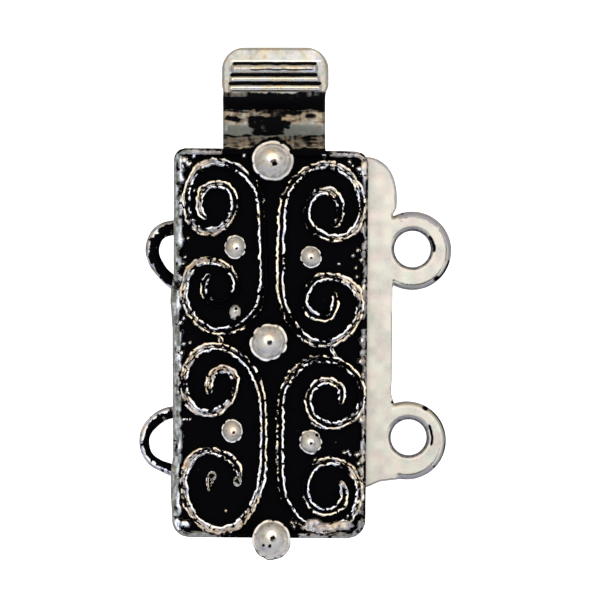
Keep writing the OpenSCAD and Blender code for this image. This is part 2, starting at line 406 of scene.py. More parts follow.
CAST_SILVER = antiqued_silver(
    "antiqued_silver",
    [(0.88, 0.91, 1.00), (1.00, 0.97, 0.93), (1.00, 0.87, 0.66)],
    [(0.11, 0.12, 0.10), (0.20, 0.21, 0.17), (0.25, 0.23, 0.27), (0.48, 0.34, 0.21)],
    0.15, grain=0.36,
)
BALL_SILVER = antiqued_silver(
    "antiqued_ball_silver",
    [(0.90, 0.86, 0.82), (0.62, 0.60, 0.64), (0.70, 0.67, 0.58), (0.74, 0.58, 0.46)],
    [(0.86, 0.80, 0.68), (0.58, 0.55, 0.53), (0.59, 0.57, 0.48), (0.59, 0.50, 0.42)],
    0.06, grain=0.18, soft=0.35, film_shine=0.08,
)
LOOP_SILVER = antiqued_silver(
    "aged_loop_silver",
    [(0.80, 0.82, 0.95), (0.80, 0.78, 0.74), (0.84, 0.68, 0.56)],
    [(0.21, 0.20, 0.21), (0.21, 0.20, 0.17), (0.27, 0.21, 0.16)],
    0.2,
)
SPRING_STRIP = antiqued_silver(
    "spring_silver",
    [(0.78, 0.78, 0.80), (0.84, 0.80, 0.70), (0.86, 0.74, 0.56)],
    [(0.25, 0.29, 0.25), (0.31, 0.29, 0.26), (0.38, 0.29, 0.19)],
    0.14, grain=0.2, soft=0.42, broken=0.14, black=(0.003, 0.003, 0.004),
)
BRIGHT_PLATE = antiqued_silver(
    "bright_silver",
    [(0.54, 0.54, 0.47), (0.56, 0.53, 0.455), (0.585, 0.51, 0.46)],
    [(0.37, 0.36, 0.41), (0.38, 0.38, 0.37), (0.44, 0.39, 0.35)],
    0.19, grain=0.06, soft=0.35, broken=0.2,
)
SLEEVE_SHEET = aged_sheet()


# Cast face: scroll wires

# Each C-scroll is one wire: the side its outer ridge lies on when the wire is followed downwards
# (1 left, -1 right), then its upper and its lower curl. A curl is followed from the straight back
# inwards, in photograph pixels; the wire turns a quarter between two places, upright at even ones
# and level at odd ones. The three rows of digits say how far the black is rubbed off, from 0 to 9,
# at every eighth of a turn: on the outer ridge, on the inner one, and in the valley between them.
SCROLLS = {
    "scroll_left_upper": (1, (
        [(261.5, 209), (214, 161.3), (186.3, 202), (206, 232.3), (234.7, 203), (217, 183.5),
         (199.0, 203), (207.5, 218)],
        "268987883889999", "977733549876655", "027615851054640",
    ), (
        [(263.3, 283), (221, 331.5), (184.5, 292), (206, 260), (236, 285), (219, 304),
         (203, 289), (210.5, 275)],
        "145968872101876", "945768848103642", "212467831000000",
    )),
    "scroll_left_lower": (1, (
        [(263.5, 414), (214, 346), (183.5, 383), (206, 413), (235.5, 383), (223.5, 369.5),
         (208.7, 384), (210, 395)],
        "939967999889863", "986678640888733", "014575651687631",
    ), (
        [(263.3, 460), (220, 530.5), (183.5, 482), (208, 451), (239.5, 478)],
        "977868868", "979997756", "068568414",
    )),
    "scroll_right_upper": (-1, (
        [(281.2, 220), (325, 164.5), (362.5, 205), (336, 238.5), (306.5, 213), (326.5, 190.5),
         (340.5, 207), (332, 227)],
        "859968823289545", "955848889964333", "025525310252000",
    ), (
        [(280.3, 280), (323, 343.5), (360.5, 303), (328, 276.5), (304, 301), (326, 318.5),
         (335.3, 302), (334, 292)],
        "927989831489845", "867726788934535", "005356310200015",
    )),
    "scroll_right_lower": (-1, (
        [(279.7, 414), (320.5, 358.5), (362.6, 396), (332, 425.5), (308, 401), (326, 380.5),
         (341.8, 393), (341, 405)],
        "463988965799984", "944534689974653", "042215210152001",
    ), (
        [(279.7, 470), (321, 529.5), (360, 492), (329, 460.5), (305.5, 492), (326.5, 512),
         (344.7, 495), (339, 482)],
        "416799822799998", "986673798999888", "006647310000166",
    )),
}
# Short nibs: share of the wire's width, then places in pixels; two between the scrolls, and two
# ends of wire in the lowest left curl. All are rubbed alike.
NIBS = [
    (0.8, [(217, 337.5), (220, 338.5), (221.5, 344)]),
    (0.5, [(331.5, 342), (331.5, 350), (336.5, 358)]),
    (0.42, [(207.5, 476), (207.5, 484), (209.5, 492)]),
    (0.36, [(213, 480), (209.5, 487)]),
]
NIB_WEAR = (0.95, 0.9, 0.4)

# Patches where the wires and the rims keep their black, in pixels: x, y, half sizes, how dark;
# and how soft they are
KEPT_BLACKS = [
    (285, 262, 4, 9, 0.9), (260, 260, 4, 5, 0.7), (213, 260, 5, 4, 0.4), (188, 381, 5, 7, 0.6),
    (292, 316, 5, 6, 0.6), (324, 341, 6, 4, 0.6), (363, 396, 4, 6, 0.5), (254, 172, 4, 8, 0.6),
    (228, 164, 4, 3, 0.4), (332, 347, 5, 3, 0.5), (348, 516, 5, 4, 0.5), (211, 412, 5, 4, 0.4),
    (244, 517, 4, 5, 0.45), (356, 208, 3, 8, 0.8), (338, 170, 3, 3, 0.4), (236, 172, 4, 4, 0.6),
    (308, 388, 4, 4, 0.5), (261, 247, 5, 9, 0.55), (259, 429, 4, 7, 0.6),
    (364, 324, 4, 5, 0.7), (182, 389, 4, 5, 0.5), (284, 196, 4, 5, 0.5),
]
KEPT_SOFT = 0.3

# Half of the wire's section: share of its half width, share of its height
WIRE_SECTION = [
    (1.12, -0.40), (1.07, 0.25), (1.04, 0.66), (1.00, 0.90), (0.94, 0.98), (0.85, 1.00),
    (0.54, 1.00), (0.44, 0.97), (0.35, 0.87), (0.24, 0.72), (0.12, 0.65), (0.00, 0.63),
]
WIRE_HALF = 0.19
WIRE_STEP = 0.045


def quarter_turn(start, end, upright):
    """Points of a quarter ellipse that leaves its start upright or level."""
    t = np.linspace(0, math.pi / 2, 40, endpoint=False)
    shares = (1 - np.cos(t), np.sin(t)) if upright else (np.sin(t), 1 - np.cos(t))
    return np.column_stack([p + (q - p) * share for p, q, share in zip(start, end, shares)])


def curl_path(pixels, *rows):
    """The curl's points from its back inwards: x, y in millimetres and the wear of its three rows."""
    places = [photo_mm(x, y, GROUND_Z + WIRE_H) for x, y in pixels]
    turns = [quarter_turn(p, q, i % 2 == 0) for i, (p, q) in enumerate(zip(places, places[1:]))]
    points = np.vstack([*turns, [places[-1]]])
    at = np.linspace(0, len(rows[0]) - 1, len(points))
    wears = [np.interp(at, range(len(row)), [int(digit) / 9 for digit in row]) for row in rows]
    return np.column_stack([points, *wears])


def wire_wear(across, along, wear, seed):
    """Wear over the wire's sections from that of its outer ridge, inner ridge and valley."""
    outer, inner, valley = wear.T[:, :, None]
    out = np.abs(across)
    worn = np.where(across > 0, outer, inner) * smoothstep(0.24, 0.44, out) * fade(0.95, 1.04, out)
    worn = np.maximum(worn, valley * fade(0.35, 0.6, out))
    # Uneven: each ridge by itself, in long and in short stretches
    for size, depth in ((0.9, 0.12), (0.3, 0.32), (0.12, 0.90)):
        worn = worn * (1 + depth * noise(along + 50 * (across > 0), across * 0.3, size, seed))
        seed += 1
    return worn - 0.03


def wire_piece(name, path, outer_side, width, seed):
    """Cast wire along a path: two rubbed ridges with a dark valley between them, lumpy all over."""
    path = resample(path, WIRE_STEP)
    for _ in range(2):
        path[1:-1] = (path[:-2] + 2 * path[1:-1] + path[2:]) / 4
    along = np.arange(len(path)) * WIRE_STEP
    sway = 0.022 * noise(along, 0, 0.7, seed) + 0.012 * noise(along, 0, 0.2, seed + 1)
    centre = path[:, :2] + sideways(path) * sway[:, None]
    side = sideways(centre) * outer_side
    from_end = np.minimum(along, along[-1] - along)
    half = width * WIRE_HALF * (1 + 0.13 * noise(along, 0, 0.30, seed + 2))
    half *= 0.7 + 0.3 * smoothstep(0, 0.5, from_end)
    high = WIRE_H * (1 + 0.09 * noise(along, 0, 0.35, seed + 3))
    blunt = np.clip(from_end / (width * WIRE_HALF), 0, 1)
    round_off = np.sqrt(np.clip(1 - (1 - blunt) ** 2, 0.02, 1))
    section = np.array(WIRE_SECTION + [(-s, h) for s, h in WIRE_SECTION[-2::-1]])
    across, levels = section.T[:, None, :]
    worn = wire_wear(across, along[:, None], path[:, 2:], seed + 4)
    ragged = 1 + 0.22 * noise(along[:, None] + 30 * (across > 0), 0, 0.14, seed + 8)
    place = across * (half * round_off)[:, None] * ragged
    # A ridge that keeps its black stands lower, a rubbed valley is filled
    kept = fade(0.1, 0.5, np.where(across > 0, path[:, 2:3], path[:, 3:4]))
    valley = path[:, 4:5] * np.clip(1 - np.abs(across) / 0.5, 0, 1) * 0.38
    rise = levels * (1 - 0.3 * kept * (levels > 0)) + valley
    rise = rise * (high * (0.4 + 0.6 * round_off))[:, None]
    x = centre[:, :1] + side[:, :1] * place
    y = centre[:, 1:] + side[:, 1:] * place
    z = GROUND_Z + rise + 0.011 * noise(x, y, 0.17, seed + 9) * (levels > 0.3)
    worn = worn - spots(KEPT_BLACKS, x, y, z, KEPT_SOFT)
    # A filled valley is matt right across the outer ridge, and warm there, cooler inside
    filled = np.clip(1.15 * path[:, 4:5] - np.where(across > 0, 0.35, 1.5) * across**2, 0, 1)
    streaks = 0.2 * noise(x, y, 0.3, seed + 10) + 0.45 * noise(x, y, 0.11, seed + 12)
    dull = 0.85 * filled + streaks * (0.5 + 0.5 * filled)
    hue = 0.02 + 0.14 * across + 0.09 * noise(x, y, 0.5, seed + 11)
    swept_piece(name, (x, y, z), worn, dull, hue, CAST_SILVER, "face_plate", outer_side < 0)


def scroll_wires():
    for seed, (name, (outer_side, upper, lower)) in enumerate(SCROLLS.items()):
        path = np.vstack([curl_path(*upper)[::-1], curl_path(*lower)])
        wire_piece(name, path, outer_side, 1.0, 100 + 20 * seed)
    for seed, (width, places) in enumerate(NIBS):
        path = [(*photo_mm(x, y, GROUND_Z + WIRE_H), *NIB_WEAR) for x, y in places]
        wire_piece(f"nib_{seed + 1}", path, 1, width, 200 + 20 * seed)


# Cast face: ground, rim and specks

# Outline of the face in photograph pixels, as y, x pairs from the lower to the upper end
LEFT_EDGE = [
    (538, 172.3), (512, 171.8), (497, 170.6), (474, 170.6), (458, 172.9), (440, 172.9),
    (330, 172.4), (302, 170.2), (290, 171.0), (278, 173.6), (148, 173.8),
]
RIGHT_EDGE = [(538, 365.2), (440, 366.4), (340, 367.2), (240, 367.8), (148, 368.6)]
TOP_LEFT_Y, TOP_RIGHT_Y = 147.8, 151.3
LOW_LEFT_Y, LOW_RIGHT_Y = 537.4, 538.6
# Corner radii and the rounding of the edge in millimetres, and points across and up the face
CORNER_LOW_LEFT, CORNER_LOW_RIGHT = 0.66, 0.72
CORNER_TOP_LEFT, CORNER_TOP_RIGHT = 0.42, 0.48
EDGE_FILLET = 0.14
GRID_X, GRID_Y = 150, 300
# Heights of the points down the casting's side, and how far its foot stands back
SIDE_LEVELS = (GROUND_Z, GROUND_Z - 0.25, FACE_Z + 0.1)
FOOT_INSET = 0.06

# Specks of bright metal on the ground and the rims: x, y, radius in pixels
SPECKS = [
    (184, 160, 4.5), (191, 163, 2.0), (180, 523, 5.5), (186.5, 524, 5.0), (177, 529, 3.0),
    (349.5, 162, 2.8), (358.5, 169, 3.0), (361, 174, 3.4), (353, 166, 1.2), (324, 156, 2.3),
    (180.5, 323, 2.6), (188, 238, 1.9), (300, 151, 2.0), (244, 156, 2.4), (304, 149, 2.4),
    (358, 250, 2.2), (353, 255.5, 2.2), (356, 268, 2.2),
    (361, 260, 2.0), (357, 277, 2.2), (362, 287, 2.2), (339, 264, 1.4), (183, 264, 3.2),
    (185, 257, 1.6), (184, 318, 2.6), (182, 332, 2.2), (184, 344, 2.4), (190, 343, 1.6),
    (182, 353, 2.8), (184, 419.5, 1.3), (187, 419.5, 1.3), (190, 419.5, 1.2), (344, 453, 2.2),
    (348, 451.5, 2.0), (350, 455, 2.0), (357, 455, 3.0), (358, 464, 2.2), (291.5, 522.5, 2.2),
    (296.5, 522.5, 2.2), (294, 527, 2.4), (226, 511, 1.8), (203, 529.5, 1.6), (309, 439, 1.6),
    (361, 420, 2.0), (359, 361, 2.6), (361, 340, 2.4), (194, 156.5, 2.2), (189.5, 164, 3.4),
    (182, 167, 2.6), (194, 190.5, 2.4), (316, 425.5, 2.6), (320.5, 427.5, 1.9),
    (312.5, 423, 1.8), (330, 425, 2.8), (315, 460, 2.0), (317, 463.5, 2.2), (321, 461.5, 2.0),
    (325.5, 458.5, 2.2),
]
# The flat bright lump where the lowest right curl meets the rim: x, y and half sizes in pixels
LUMPS = [(326, 527.5, 24, 4.6), (315, 524.5, 10, 6.0), (341, 525.5, 13, 6.0)]
# Where the curls run into the rim, as y in pixels, on the left and on the right; and how far each
# way that widens the rim, in millimetres
LEFT_JOINS, RIGHT_JOINS = (200, 292, 382, 482), (205, 303)
JOIN_HALF = 0.75
# The rims of the two ends are worn away behind the balls, between these x in pixels
TOP_GAP, LOW_GAP = (218, 334), (214, 300)


def edge_place(table, row_y):
    """x in millimetres of a side of the face at each row's y."""
    rows = [photo_mm(x, y)[::-1] for y, x in table]
    ys, xs = zip(*rows)
    return np.interp(row_y, ys, xs)


def corner_inset(radius, distance):
    """How far a rounded corner stands back at a distance from the end."""
    d = np.clip(distance, 0, radius)
    return radius - np.sqrt(np.maximum(radius**2 - (radius - d) ** 2, 0))


def face_grid():
    """Points of the face's top inside its rounded outline, row by row from the lower end."""
    v = np.linspace(0, 1, GRID_Y)
    corners = (LOW_LEFT_Y, LOW_RIGHT_Y, TOP_LEFT_Y, TOP_RIGHT_Y)
    low_left, low_right, top_left, top_right = [photo_mm(0, py)[1] for py in corners]
    y = (low_left + low_right) / 2 * (1 - v) + (top_left + top_right) / 2 * v
    y = y + EDGE_FILLET * (1 - 2 * v)
    left = edge_place(LEFT_EDGE, y) + EDGE_FILLET
    right = edge_place(RIGHT_EDGE, y) - EDGE_FILLET
    from_low, from_top = y - y[0], y[-1] - y
    left += corner_inset(CORNER_LOW_LEFT, from_low) + corner_inset(CORNER_TOP_LEFT, from_top)
    right -= corner_inset(CORNER_LOW_RIGHT, from_low) + corner_inset(CORNER_TOP_RIGHT, from_top)
    u = np.linspace(0, 1, GRID_X)[None, :]
    x = left[:, None] * (1 - u) + right[:, None] * u
    slant = (low_right - low_left) * (1 - v[:, None]) + (top_right - top_left) * v[:, None]
    y = y[:, None] + slant * (u - 0.5)
    return x, y, x - left[:, None], right[:, None] - x


def face_surface(x, y, from_left, from_right):
    """Height above the ground, wear, dullness and hue of the cast face at each point."""
    from_low, from_top = y - y[0], y[-1] - y
    wobble = noise(x, y, 0.55, 3)
    fine = noise(x, y, 0.22, 7)
    ground = 0.030 * noise(x, y, 0.16, 1) + 0.015 * fine

    def rim(distance, width):
        return fade(width - 0.05, width + 0.07, distance)

    def gap(table):
        left, right = [photo_mm(px, 0)[0] for px in table]
        reach = 0.3 * wobble + 0.2 * fine
        return smoothstep(-0.1, 0.3, x - left + reach) * smoothstep(-0.1, 0.3, right - x + reach)

    def joins(places):
        centres = [photo_mm(0, py)[1] for py in places]
        return sum(np.exp(-(((y - cy) / JOIN_HALF) ** 2)) for cy in centres)

    left_rim = rim(from_left, 0.25 + 0.13 * joins(LEFT_JOINS) + 0.08 * wobble + 0.12 * fine)
    right_width = 0.15 + 0.10 * joins(RIGHT_JOINS) + 0.06 * wobble + 0.12 * fine
    right_rim = 0.9 * rim(from_right, right_width)
    low_rim = 0.92 * rim(from_low, 0.12 + 0.03 * wobble + 0.03 * fine)
    top_rim = 0.95 * rim(from_top, 0.15 + 0.04 * wobble)
    rims = np.maximum.reduce([left_rim, right_rim, low_rim, top_rim])
    # The left rim is brightest along its inner edge, and all of them are streaky
    left_edge = smoothstep(0.02, 0.3, 1 - left_rim) + smoothstep(0.14, 0.2, from_left + 0.1 * wobble)
    streaks = 0.45 * noise(x, y * 0.3, 0.09, 10)
    specks = np.zeros_like(x)
    for px, py, radius in SPECKS:
        cx, cy = photo_mm(px, py)
        reach = np.hypot(x - cx, y - cy) / (radius / PX_PER_MM)
        specks = np.maximum(specks, 0.24 * np.sqrt(np.clip(1 - reach**2, 0, 1)))
    lump = np.zeros_like(x)
    for px, py, half_x, half_y in LUMPS:
        cx, cy = photo_mm(px, py)
        reach = PX_PER_MM * np.hypot((x - cx) / half_x, (y - cy) / half_y) + 0.2 * fine
        lump = np.maximum(lump, 0.50 * fade(0.8, 1.05, reach))
    height = np.maximum.reduce([ground, RIM_H * rims + 0.012 * wobble, specks, lump])
    worn = np.maximum.reduce([
        0.05 + 0.10 * fine,
        (0.64 + 0.3 * fine) * smoothstep(0.2, 0.7, left_rim),
        (0.60 + 0.2 * joins(RIGHT_JOINS) + 0.25 * fine) * smoothstep(0.3, 0.8, right_rim),
        (0.62 + 0.4 * fine) * smoothstep(0.3, 0.8, low_rim) * (1 - gap(LOW_GAP)),
        (0.80 + 0.2 * fine) * smoothstep(0.3, 0.8, top_rim) * (1 - gap(TOP_GAP)),
        0.9 * smoothstep(0.05, 0.15, specks),
        0.98 * smoothstep(0.08, 0.2, lump),
    ])
    dull = np.maximum.reduce([
        (0.9 - 0.5 * left_edge + streaks) * left_rim,
        (0.9 + streaks) * right_rim,
        (1.0 + streaks) * low_rim,
        (0.75 + streaks) * top_rim,
        (0.75 + 0.4 * noise(x, y, 0.13, 8)) * smoothstep(0.30, 0.48, lump + 0.05 * wobble),
    ])
    # Specks shine wherever they are
    dull = dull * fade(0.05, 0.15, specks)
    hue = 0.06 * noise(x, y, 0.5, 9) - 0.08 * rims + 0.04 * right_rim - 0.24 * left_rim
    return height, worn, dull, hue


def cast_face():
    """The casting under the wires and balls, closed by its sides and its back."""
    x, y, from_left, from_right = face_grid()
    height, worn, dull, hue = face_surface(x, y, from_left, from_right)
    worn = worn - spots(KEPT_BLACKS, x, y, RIM_Z, KEPT_SOFT)
    rows, cols = x.shape
    top = np.column_stack([x.ravel(), y.ravel(), GROUND_Z + height.ravel()])
    index = np.arange(rows * cols).reshape(rows, cols)
    edge = np.concatenate([index[0, :-1], index[:-1, -1], index[-1, :0:-1], index[:0:-1, 0]])
    rim_points = top[edge]
    ahead = np.roll(rim_points, -3, axis=0) - np.roll(rim_points, 3, axis=0)
    outward = np.column_stack([ahead[:, 1], -ahead[:, 0]])
    outward /= np.linalg.norm(outward, axis=1)[:, None]
    # The edge rounds off, then the side runs down to the back
    turns = np.radians([22.5, 45, 67.5, 90])
    levels = [
        (EDGE_FILLET * math.sin(t), rim_points[:, 2] - EDGE_FILLET * (1 - math.cos(t))) for t in turns
    ]
    wave = noise(rim_points[:, 0], rim_points[:, 1], 0.8, 21)
    for z in SIDE_LEVELS:
        levels.append((EDGE_FILLET + 0.015 * wave, np.full(len(edge), z)))
    levels.append((EDGE_FILLET - FOOT_INSET, np.full(len(edge), FACE_Z)))
    walls = np.vstack([
        np.column_stack([rim_points[:, :2] + outward * np.atleast_1d(out)[:, None], z])
        for out, z in levels
    ])
    count = len(edge)
    wall_faces = np.array(grid_faces(len(levels) + 1, count, wrap=True))[:, ::-1]
    lookup = np.concatenate([edge, rows * cols + np.arange(len(walls))])
    faces = grid_faces(rows, cols) + lookup[wall_faces].tolist()
    faces.append(lookup[-count:][::-1].tolist())
    # The sides are rubbed; the rounded edge is painted darker where it faces right, to the plate, and
    # up,
    # to the tongue: painted shade. It keeps black where the top beside it is black
    facing = np.tile(0.15 * outward[:, 0] + 0.2 * outward[:, 1], len(levels))
    rounded = np.repeat([1] * len(turns) + [0] * (len(levels) - len(turns)), count)
    side_worn = 0.74 - (facing + 0.16) * rounded
    side_worn += 0.2 * noise(walls[:, 0] + walls[:, 2], walls[:, 1], 0.3, 22)
    side_worn -= 0.6 * rounded * np.tile(worn.ravel()[edge] < 0.3, len(levels))
    mesh = new_mesh(
        "cast_face", np.vstack([top, walls]), faces,
        worn=np.concatenate([worn.ravel(), side_worn]),
        dull=np.concatenate([dull.ravel(), np.full(len(side_worn), 0.85)]),
        hue=np.concatenate([hue.ravel(), np.full(len(side_worn), -0.07)]),
    )
    finish_piece("cast_face", mesh, CAST_SILVER, "face_plate")


# Cast face: balls

NO_COLLAR = -1
# In photograph pixels: x, y, radius across and up; then how far their tops lean right and up,
# how lumpy they are, how much of their collar is white, and the angle it is whitest at.
# The drop has no collar.
LARGE_BALLS = {
    "ball_top": (272.8, 160.9, 21.3, 20.0, -0.02, 0.17, 0.012, 0.3, 150),
    "ball_middle": (268.7, 342.5, 19.2, 18.8, -0.01, 0.20, 0.030, 2.0, 0),
    "ball_bottom": (271.4, 540.2, 19.1, 20.6, 0.02, 0.34, 0.016, -0.3, 92),
}
SMALL_BALLS = {
    "grain_left_upper": (235, 247, 11.2, 11.8, 0.12, 0.05, 0.030, 0.6, 320),
    "grain_right_upper": (311, 257, 10.8, 11.2, -0.05, 0.10, 0.026, 0.3, 280),
    "grain_left_lower": (232, 431, 10.8, 11.8, 0.14, 0.05, 0.022, 2.0, 0),
    "grain_right_lower": (310.5, 442, 12.0, 12.0, 0.00, 0.05, 0.044, 1.2, 250),
    "drop": (235, 312.5, 5.6, 7.4, 0.15, 0.40, 0.022, NO_COLLAR, 0),
    "eyelet": (212, 476, 4.4, 4.8, 0.00, 0.00, 0.022, 0.1, 220),
    "bead": (237.5, 481.3, 4.2, 5.0, 0.00, 0.00, 0.022, 2.0, 0),
}
PITTED = ("eyelet", "bead")
# Dark spots on the balls in pixels: x, y, half sizes, how dark; and how soft they are. The one on
# the top ball's crown is a painted dark reflection of the tent's opening
BALL_SPOTS = [
    (263.5, 545.4, 1.4, 1.4, 1.0), (269.8, 545.8, 1.6, 1.6, 1.0), (255, 534, 1.2, 1.2, 0.5),
    (274.5, 163.5, 2.5, 2.5, 1.0), (317, 435, 1.8, 1.8, 0.9), (300.5, 446, 1.5, 1.5, 0.6),
    (236, 308.6, 1.7, 1.7, 0.8), (237.5, 317.5, 2.2, 2.2, 0.9),
]
BALL_SPOT_SOFT = 0.4
# Points round a ball, its height in radii, and the power that flattens its dome (1 is round)
BALL_SIDES = 96
BALL_HEIGHT, BALL_FLATNESS = 0.8, 0.9
# How far the tops of the small balls stand above the ground, in radii
SMALL_BALL_RISE = 1.1
# A ball's dome ends in a narrow scalloped collar that faces up: the share of the radius that the
# dome takes, with a collar and without, the share of the height the collar stands at, and its
# slope in degrees
DOME_SHARE, BARE_DOME_SHARE = 0.87, 0.98
COLLAR_RISE, COLLAR_SLOPE = 0.30, 18


def ball_profile(dome_share):
    """Rows from a ball's top to its bottom: reach, rise and how far out on the collar, as shares."""
    edge = math.acos(COLLAR_RISE)
    rows = [
        (dome_share * (math.sin(a) / math.sin(edge)) ** BALL_FLATNESS, math.cos(a), 0)
        for a in np.linspace(0.02, edge, 28)
    ]
    fall = math.tan(math.radians(COLLAR_SLOPE)) / BALL_HEIGHT
    flat = (1 - dome_share) * 0.8
    for t in np.linspace(0.1, 1, 7):
        rows.append((dome_share + flat * t, COLLAR_RISE - flat * t * fall, t))
    low = COLLAR_RISE - flat * fall
    for a in np.linspace(0.3, math.pi / 2, 4):
        rows.append((dome_share + flat + flat / 4 * math.sin(a), low - 0.06 * (1 - math.cos(a)), 1.5))
    for a in np.linspace(math.acos(low - 0.12), math.pi - 0.02, 12):
        rows.append((math.sin(a) ** BALL_FLATNESS, math.cos(a), 2))
    return np.array(rows)


def ball_piece(name, row, top_z, seed):
    """A cast ball with its collar, a little lumpy, its lower part sunk in the casting."""
    phase = np.random.default_rng(seed).uniform(0, 2 * math.pi, 4)
    px, py, half_x, half_y, lean_x, lean_y, lumpiness, white, white_at = row
    half_x, half_y = half_x / PX_PER_MM, half_y / PX_PER_MM
    high = BALL_HEIGHT * (half_x + half_y) / 2
    centre_z = top_z - high
    cx, cy = photo_mm(px, py, centre_z + COLLAR_RISE * high)
    profile = ball_profile(BARE_DOME_SHARE if white == NO_COLLAR else DOME_SHARE)
    reach, rise, collar = [column[:, None] for column in profile.T]
    turn = np.linspace(0, 2 * math.pi, BALL_SIDES, endpoint=False)[None, :]
    notches = np.abs(np.cos(4.5 * turn + phase[1])) ** 5 * (0.75 + 0.5 * np.sin(2 * turn + phase[2]))
    on_edge = np.clip(collar, 0, 1)
    lumps = (np.sin(2 * turn + phase[0]) + 0.6 * np.sin(5 * turn + phase[3])) * reach**2
    reach = reach * (1 + lumpiness * (lumps - 2.2 * notches * on_edge))
    lean = high * rise**2
    x = cx + half_x * reach * np.cos(turn) + lean_x * lean
    y = cy + half_y * reach * np.sin(turn) + lean_y * lean
    z = centre_z + high * rise * np.ones_like(turn)
    mottle = noise(x, y, 0.14, seed + 56)
    # The dome is bright on top and has a matt film round that
    worn = 0.92 + 0.32 * mottle * smoothstep(0.2, 0.4, reach)
    patches = 0.25 * noise(x, y, 0.28, seed + 50) + 0.15 * noise(x, y, 0.12, seed + 51)
    dull = (0.75 + 1.4 * patches) * smoothstep(0.20, 0.32, reach)
    # Its flank is painted lighter against its shading, so that it reads nearly flat
    hue = 0.16 * noise(x, y, 0.5, seed + 53) - 0.28 * smoothstep(0.45, 0.85, reach)
    # The collar is rubbed white in stretches, with black in its notches
    stretch = np.cos(turn - math.radians(white_at)) + noise(x, y, 0.45, seed + 55) + white
    stretch = smoothstep(-0.2, 0.4, stretch) * smoothstep(0, 0.3, collar) * (collar < 2)
    worn = worn + stretch * (0.15 + 0.5 * noise(x, y, 0.2, seed + 54))
    worn = worn - 1.3 * (notches > 0.8) * on_edge - 0.7 * (1 - stretch) * smoothstep(0.5, 1.5, collar)
    dull = np.maximum(dull, 0.8 * on_edge) * (1 - stretch) + 0.15 * stretch
    hue = hue * (1 - stretch) - 0.45 * stretch
    worn = np.where(collar < 2, worn, 0.3 + 0.3 * mottle)
    if name in PITTED:
        worn = worn * smoothstep(0.50, 0.75, reach + 0.3 * mottle)
    # The spots darken pits and notches, and paint the dark reflection on the top ball's crown
    worn = worn - 1.1 * spots(BALL_SPOTS, x, y, z, BALL_SPOT_SOFT) * (collar < 2)
    swept_piece(name, (x, y, z), worn, dull, hue, BALL_SILVER, "face_plate", inside_out=True)


def balls():
    for seed, (name, row) in enumerate(LARGE_BALLS.items()):
        ball_piece(name, row, BALL_TOP_Z, 200 + seed)
    for seed, (name, row) in enumerate(SMALL_BALLS.items()):
        ball_piece(name, row, GROUND_Z + SMALL_BALL_RISE * row[2] / PX_PER_MM, 210 + seed)


# Sleeve with the left half's loops

# In millimetres: radius of the folds, lower end and upper side of the slot, underside of the catch
# lips and the gap between them
FOLD_R = 0.5
SLOT_LOW_Y, SLOT_TOP_Z = -6.85, 1.35
LIP_Z = 2.15
NECK_LEFT, NECK_RIGHT = -2.27, 2.81

# Loops of the left half: places along the middle of the wire in photograph pixels, each with half
# the wire's width there and how far outwards the black reaches (0 the middle, 1 the outer edge)
LOOP_Z = 1.85
LOOP_SIDES = 28
LOOPS = {
    "loop_upper": [
        (200, 227, 7.5, 1.2), (173.5, 227, 7.5, 0.8), (158.5, 231.5, 7.0, 0.5), (151.6, 246, 7.0, 0.4),
        (153.4, 259.5, 6.8, 0.7), (161.5, 272, 6.2, 0.65), (172, 282, 6.5, 0.65), (200, 304, 6.5, 0.7),
    ],
    "loop_lower": [
        (200, 411, 6.2, 0.5), (172, 411.5, 6.2, 0.3), (158, 417, 6.2, 0.2), (144.2, 432, 5.4, 0.1),
        (144.4, 450.5, 5.0, 0.0), (153, 462.5, 5.2, 0.0), (172, 470, 5.8, 0.1), (200, 482, 5.8, 0.2),
    ],
}


def rounded_section(left, low, right, high, radius):
    """Outline of a rectangle with round corners, counter-clockwise."""
    x0, y0, x1, y1 = left + radius, low + radius, right - radius, high - radius
    points = []
    for cx, cy, start in ((x1, y0, -90), (x1, y1, 0), (x0, y1, 90), (x0, y0, 180)):
        for angle in np.radians(np.linspace(start, start + 90, 9)):
            points.append((cx + radius * math.cos(angle), cy + radius * math.sin(angle)))
    return points


def lying_prism(section, y0, y1):
    """Prism along Y over an outline in x and z."""
    verts, faces = prism(section, y0, y1)
    return np.column_stack([verts[:, 0], verts[:, 2], verts[:, 1]]), [f[::-1] for f in faces]


def cut_by(mesh, *cutters):
    """Mesh with closed solids taken out of it, one after the other."""
    for verts, faces in cutters:
        cutter = new_object("cutter", new_mesh("cutter", verts, faces))
        settings = {"operation": "DIFFERENCE", "solver": "EXACT", "object": cutter}
        mesh = evaluated(mesh, ("BOOLEAN", settings))
        bpy.data.objects.remove(cutter)
    return mesh


SOFT_EDGES = ("BEVEL", {
    "width": 0.05, "segments": 2, "limit_method": "ANGLE", "angle_limit": math.radians(40),
    "harden_normals": True,
})


